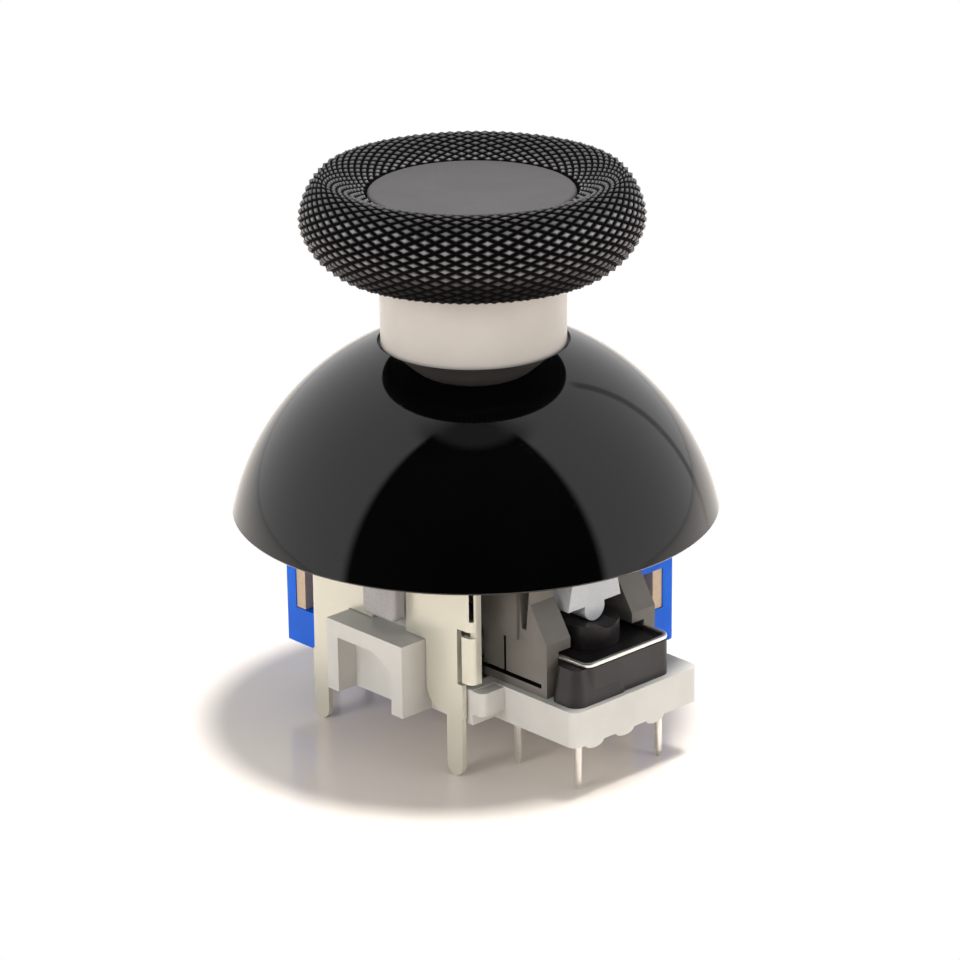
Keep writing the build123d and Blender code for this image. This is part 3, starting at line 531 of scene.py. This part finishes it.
def turned(name, knots, values, closed=False):
    # a turned piece: its section, in so many steps a knot, is spun in so many steps round the stick's axis
    deselectAll()
    piece = sectionCurve(name, knots, values["steps"], closed)
    thinStraights()
    spinRound(piece, values["around"])
    pointOutwards()
    bpy.ops.object.shade_smooth_by_angle(angle=math.radians(24))
    return piece


def standsFor(piece, node, finish, body="stick"):
    dress(piece, finish)
    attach(piece, body)
    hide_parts(node)
    print(piece.name + ":", len(piece.data.polygons), "faces")


# heights of the nodes that these pieces stand for, in mm
neckFoot, neckTop = [end.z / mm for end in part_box("neck_sleeve")]
padFoot, padTop = [end.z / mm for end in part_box("thumb_pad")]
rimHeight, postTop = [end.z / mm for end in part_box("dome_skirt")]

dome = {
    "pivot": 9.1,             # height of the centre of its skin; all in mm
    "radius": 13.2,
    "wall": 0.85,
    "rimRound": 0.1,
    "collarRadius": 5.05,
    "postRadius": 3.6,
    "bossRadius": 3.9,
    "bossFoot": 17.3,
    "socketRadius": 1.97,
    "socketTop": 20.72,
    "steps": 14,
    "around": 256,
}


def domeSkirt():
    pivot, outer, rimRound, collar = dome["pivot"], dome["radius"], dome["rimRound"], dome["collarRadius"]
    inner = outer - dome["wall"]
    outerRim = math.asin((rimHeight + rimRound - pivot) / outer)
    innerRim = math.asin((rimHeight + rimRound - pivot) / inner)
    knots = [
        corner(0, postTop),
        corner(dome["postRadius"], postTop),
        corner(dome["postRadius"], neckFoot),
        corner(collar, neckFoot),
        *arcKnots(outer, pivot, math.acos(collar / outer), outerRim),
        bend(outer * math.cos(outerRim) - rimRound, rimHeight, -0.5 * rimRound, 0),
        bend(inner * math.cos(innerRim) + rimRound, rimHeight, -0.5 * rimRound, 0),
        *arcKnots(inner, pivot, innerRim, math.acos(collar / inner)),
        corner(dome["bossRadius"], dome["bossFoot"]),
        corner(dome["socketRadius"], dome["bossFoot"]),
        corner(dome["socketRadius"], dome["socketTop"]),
        corner(0, dome["socketTop"]),
    ]
    return turned("dust_dome", knots, dome)


standsFor(domeSkirt(), "dome_skirt", "dome")

neck = {"bore": 3.62, "radius": 4.87, "edge": 0.15, "handle": 0.6, "steps": 8, "around": 192}


def neckSleeve():
    bore, radius, edge = neck["bore"], neck["radius"], neck["edge"]
    soft = neck["handle"] * edge
    knots = [
        corner(bore, neckFoot),
        (radius - edge, neckFoot, (0, 0), (soft, 0)),
        (radius, neckFoot + edge, (0, soft), (0, 0)),
        (radius, neckTop - edge, (0, 0), (0, soft)),
        (radius - edge, neckTop, (-soft, 0), (0, 0)),
        corner(bore, neckTop),
    ]
    return turned("neck_tube", knots, neck, closed=True)


standsFor(neckSleeve(), "neck_sleeve", "sleeve")

pad = {"radius": 5.41, "edge": 0.2, "handle": 0.55, "dish": 0.12, "steps": 10, "around": 192}


def thumbPad():
    radius, edge = pad["radius"], pad["edge"]
    soft = pad["handle"] * edge
    knots = [
        corner(0, padFoot),
        corner(radius, padFoot),
        (radius, padTop - edge, (0, 0), (0, soft)),
        (radius - edge, padTop, (-soft, 0), (-0.3 * radius, -0.4 * pad["dish"])),
        (0, padTop - pad["dish"], (-0.5 * radius, 0), (0, 0)),
    ]
    return turned("thumb_disc", knots, pad)


standsFor(thumbPad(), "thumb_pad", "pad")

rim = {
    "lift": 0.03,             # over the foot of the node; all in mm
    "height": 0.22,
    "width": 0.24,
    "corner": 0.6,
    "edge": 0.06,
}


def switchRim():
    # a plate with round corners, opened in the middle and drawn up
    low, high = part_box("switch_cover")
    middle = (low + high) / 2
    foot = low.z + rim["lift"] * mm
    deselectAll()
    bpy.ops.mesh.primitive_plane_add(size=1, location=(0, 0, 0))
    piece = bpy.context.object
    piece.name = "bright_rim"
    bpy.ops.object.mode_set(mode="EDIT")
    bpy.ops.transform.resize(value=(high.x - low.x, high.y - low.y, 1), center_override=(0, 0, 0))
    bpy.ops.transform.translate(value=(middle.x, middle.y, foot))
    bpy.ops.mesh.bevel(affect="VERTICES", offset=rim["corner"] * mm, segments=10)
    bpy.ops.mesh.inset(thickness=rim["width"] * mm)
    bpy.ops.mesh.delete(type="FACE")
    bpy.ops.mesh.select_all(action="SELECT")
    bpy.ops.mesh.extrude_region_move(TRANSFORM_OT_translate={"value": (0, 0, rim["height"] * mm)})
    bpy.ops.object.mode_set(mode="OBJECT")
    pointOutwards()
    softened = piece.modifiers.new("softened", "BEVEL")
    softened.width = rim["edge"] * mm
    softened.segments = 4
    softened.limit_method = "ANGLE"
    bpy.ops.object.modifier_apply(modifier="softened")
    bpy.ops.object.shade_smooth_by_angle(angle=math.radians(40))
    return piece


standsFor(switchRim(), "switch_cover", "rim", "module")

knurl = {
    "diamonds": 52,           # round the rim
    "rows": 13,               # steps along each of the four stretches of the section
    "height": 0.16,           # of the points, mm
    "depth": 0.08,            # of the grooves between them
    "section": [              # from the seat of the disc over the crest to the foot
        bend(5.47, 29.26, 0.90, 0.27),
        (7.70, 30.19, (0.55, 0), (0.42, 0)),
        (8.86, 27.95, (0, -0.85), (0, -0.95)),
        bend(7.08, 25.62, -0.62, 0.0),
        bend(4.95, 25.50, -0.7, 0.0),
    ],
}


def verticesAt(mesh, radius, height=None):
    # numbers of the vertices that lie at a radius (and height) in mm, to a hundredth of a mm
    near = 0.01 * mm
    found = {vertex.index for vertex in mesh.vertices if abs(vertex.co.xy.length - radius * mm) < near}
    if height is None:
        return found
    return {index for index in found if abs(mesh.vertices[index].co.z - height * mm) < near}


def closeInside(piece):
    # the seat of the disc, the bore round the post and the flat foot
    mesh = piece.data
    bore = neck["bore"]
    seat, foot = knurl["section"][0][:2], knurl["section"][-1][:2]
    for (radius, height), floor in ((seat, padFoot), (foot, neckTop)):
        pickVertices(mesh, verticesAt(mesh, radius, height))
        bpy.ops.object.mode_set(mode="EDIT")
        bpy.ops.mesh.extrude_edges_move(TRANSFORM_OT_translate={"value": (0, 0, (floor - height) * mm)})
        bpy.ops.mesh.extrude_edges_move(TRANSFORM_OT_translate={"value": (0, 0, 0)})
        bpy.ops.transform.resize(value=(bore / radius, bore / radius, 1), center_override=(0, 0, 0))
        bpy.ops.object.mode_set(mode="OBJECT")
    pickVertices(mesh, verticesAt(mesh, bore))
    bpy.ops.object.mode_set(mode="EDIT")
    bpy.ops.mesh.select_mode(type="EDGE")
    bpy.ops.mesh.bridge_edge_loops()
    bpy.ops.object.mode_set(mode="OBJECT")


def nearestRow(profile, vertex):
    radius, height = vertex.co.xy.length, vertex.co.z
    gaps = [abs(x - radius) + abs(z - height) for x, z in profile]
    return gaps.index(min(gaps))


def knurledGrip():
    deselectAll()
    grip = sectionCurve("knurled_grip", knurl["section"], knurl["rows"])
    profile = [(vertex.co.x, vertex.co.z) for vertex in grip.data.vertices]
    columns = 2 * knurl["diamonds"]
    spinRound(grip, columns)
    mesh = grip.data
    # every second crossing of rows and columns is a point
    raised = set()
    for vertex in mesh.vertices:
        column = round(math.atan2(vertex.co.y, vertex.co.x) / (2 * math.pi) * columns)
        row = nearestRow(profile, vertex)
        if (column + row) % 2 == 0 and 0 < row < len(profile) - 1:
            raised.add(vertex.index)
    pointOutwards()
    pickVertices(mesh, raised)
    bpy.ops.object.mode_set(mode="EDIT")
    bpy.ops.transform.shrink_fatten(value=knurl["height"] * mm)
    bpy.ops.mesh.select_all(action="SELECT")
    bpy.ops.mesh.poke(offset=-knurl["depth"] * mm)
    bpy.ops.object.mode_set(mode="OBJECT")
    tips = mesh.attributes.new("tip", "FLOAT", "POINT")
    for index, tip in enumerate(tips.data):
        tip.value = float(index in raised)
    closeInside(grip)
    pointOutwards()
    return grip


standsFor(knurledGrip(), "thumb_grip", "knurl")

# the coil spring and the snap dome are copies of their nodes;
# foot is the height of the end that stays, and travel how far the other end goes, in mm
pressed = {
    "coil_spring": {"node": "return_spring", "joint": "plate_travel", "foot": 3.9, "travel": 0.18},
    "snap_dome": {"node": "switch_contact", "joint": "button_travel", "foot": 5.35, "travel": 0.36},
}


def addPressed(name):
    values = pressed[name]
    node = cadNodes[values["node"]]
    deselectAll()
    node.select_set(True)
    bpy.context.view_layer.objects.active = node
    bpy.ops.object.duplicate()
    piece = bpy.context.active_object
    piece.name = name
    for note in [key for key in piece.keys() if key.startswith("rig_")]:
        del piece[note]       # the copy is no node
    pointOutwards()
    bpy.ops.object.shade_smooth_by_angle(angle=math.radians(24))
    standsFor(piece, values["node"], "steel", "module")
    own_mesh(piece)


for name in pressed:
    addPressed(name)


# Stage: floor, light and camera

view = {
    "azimuth": math.radians(47.0),
    "pitch": 0.3585,          # radians, as yaw and roll are
    "yaw": 0.0012,
    "roll": -0.0120,
    "distance": 211.0 * mm,
    "aimHeight": 13.417 * mm,
    "pixelsPerMm": 18.95,     # at the stick's axis
    "sensor": 36.0,
    "frameWidth": 960,
}


def addCamera():
    camera = bpy.data.objects.new("camera", bpy.data.cameras.new("camera"))
    bpy.context.collection.objects.link(camera)
    back = Vector((0, -math.cos(view["pitch"]), math.sin(view["pitch"]))) * view["distance"]
    turn = Matrix.Rotation(view["azimuth"], 4, "Z")
    place = turn @ (back + Vector((0, 0, view["aimHeight"])))
    tilt = Matrix.Rotation(math.pi / 2 - view["pitch"], 4, "X")
    yaw = Matrix.Rotation(-view["yaw"], 4, "Z")
    roll = Matrix.Rotation(view["roll"], 4, "Z")
    camera.matrix_world = Matrix.Translation(place) @ turn @ yaw @ tilt @ roll
    camera.data.sensor_width = view["sensor"]
    focalPixels = view["pixelsPerMm"] * view["distance"] / mm
    camera.data.lens = focalPixels / view["frameWidth"] * view["sensor"]
    camera.data.clip_start = 0.01
    camera.data.clip_end = 20.0
    bpy.context.scene.camera = camera


paper = {
    "size": 3.0,
    "colour": tint(0.85, 0.78, 0.715),
    "gloss": 0.16,
    "shine": 0.35,
    "shadowRadius": 13.5 * mm,    # inside this the floor shows its shadow
    "whiteRadius": 24.0 * mm,     # outside this the floor is plain white
}


def addFloor():
    deselectAll()
    bpy.ops.mesh.primitive_plane_add(size=paper["size"], location=(0, 0, 0))
    floor = bpy.context.object
    floor.name = "floor"
    material, graph = newMaterial("floorPaper")
    shaded = graph.principled({
        "Base Color": paper["colour"],
        "Roughness": paper["gloss"],
        "Specular IOR Level": paper["shine"],
    })
    white = graph.add("ShaderNodeEmission", inputs={"Color": tint(1, 1, 1), "Strength": 1.0})
    radius = graph.add("ShaderNodeVectorMath", {"operation": "LENGTH"}, {0: graph.place()}, output="Value")
    seen = graph.add("ShaderNodeLightPath", output="Is Camera Ray")
    far = graph.smooth(radius, paper["shadowRadius"], paper["whiteRadius"])
    graph.show(graph.mixShaders(far * seen, shaded, white))
    floor.data.materials.append(material)


# the room is white; what gloss shows of it has a dark end towards the camera, a duller ceiling
# and the edge of the backdrop as an upright line; angles in degrees, bearings from the camera to its right
room = {
    "fill": 0.50,             # strength for plain light
    "darkBearing": -1.0,
    "darkWide": (58.0, 64.0),
    "darkHigh": (69.0, 74.5),
    "dark": 0.995,
    "ceilingWide": (40.0, 105.0),
    "ceilingHigh": (63.5, 70.5),
    "ceiling": 0.78,
    "edgeBearing": 135.5,
    "edgeWide": (0.8, 3.0),
    "edgeHigh": (43.0, 48.0),
    "edge": 0.5,
}


def addWorld():
    world = bpy.data.worlds.new("studio")
    bpy.context.scene.world = world
    graph = Graph(world)

    def light(strength):
        return graph.add("ShaderNodeBackground", inputs={"Color": tint(1, 1, 1), "Strength": strength})

    seen, glossy = graph.add("ShaderNodeLightPath", output=("Is Camera Ray", "Is Glossy Ray"))
    direction = graph.add("ShaderNodeTexCoord", output="Generated")
    turnedBack = {"Vector": direction, "Rotation": (0, 0, -view["azimuth"])}
    side, ahead, up = graph.apart(graph.add("ShaderNodeMapping", {"vector_type": "POINT"}, turnedBack))
    bearing = side.maths("ARCTAN2", 0 - ahead) * (180 / math.pi)
    height = up.maths("ARCSINE") * (180 / math.pi)
    offCentre = (bearing - room["darkBearing"]).maths("ABSOLUTE")
    dark = graph.fade(offCentre, *room["darkWide"]) * graph.fade(height, *room["darkHigh"])
    ceiling = graph.smooth(height, *room["ceilingHigh"]) * graph.fade(offCentre, *room["ceilingWide"])
    offEdge = (bearing - room["edgeBearing"]).maths("ABSOLUTE")
    edge = graph.fade(offEdge, *room["edgeWide"]) * graph.fade(height, *room["edgeHigh"])
    brightness = (1 - dark * room["dark"]) * (1 - ceiling * room["ceiling"]) * (1 - edge * room["edge"])
    mirrored = graph.mixShaders(glossy, light(room["fill"]), light(brightness))
    graph.show(graph.mixShaders(seen, mirrored, light(1.0)), "ShaderNodeOutputWorld")


# bearings and heights as for the room; distance and size in metres, power in watts
lamps = {
    "top": {"bearing": 90, "height": 81, "distance": 0.5, "size": 0.13, "power": 3.2},
    "left": {"bearing": -50, "height": 22, "distance": 0.5, "size": 0.25, "power": 0.8},
    "right": {"bearing": 60, "height": 18, "distance": 0.5, "size": 0.25, "power": 0.5},
}


def addLamps():
    centre = Vector((0, 0, 12.0 * mm))
    for name, lamp in lamps.items():
        light = bpy.data.objects.new(name, bpy.data.lights.new(name, "AREA"))
        bpy.context.collection.objects.link(light)
        bearing = view["azimuth"] + math.radians(lamp["bearing"])
        height = math.radians(lamp["height"])
        flat = math.cos(height)
        direction = Vector((math.sin(bearing) * flat, -math.cos(bearing) * flat, math.sin(height)))
        light.location = centre + lamp["distance"] * direction
        light.rotation_euler = direction.to_track_quat("Z", "Y").to_euler()
        light.data.shape = "DISK"
        light.data.size = lamp["size"]
        light.data.energy = lamp["power"]
        light.visible_glossy = False


addCamera()
addFloor()
addWorld()
addLamps()
bpy.context.scene.view_settings.view_transform = "Standard"
print("stage ready")
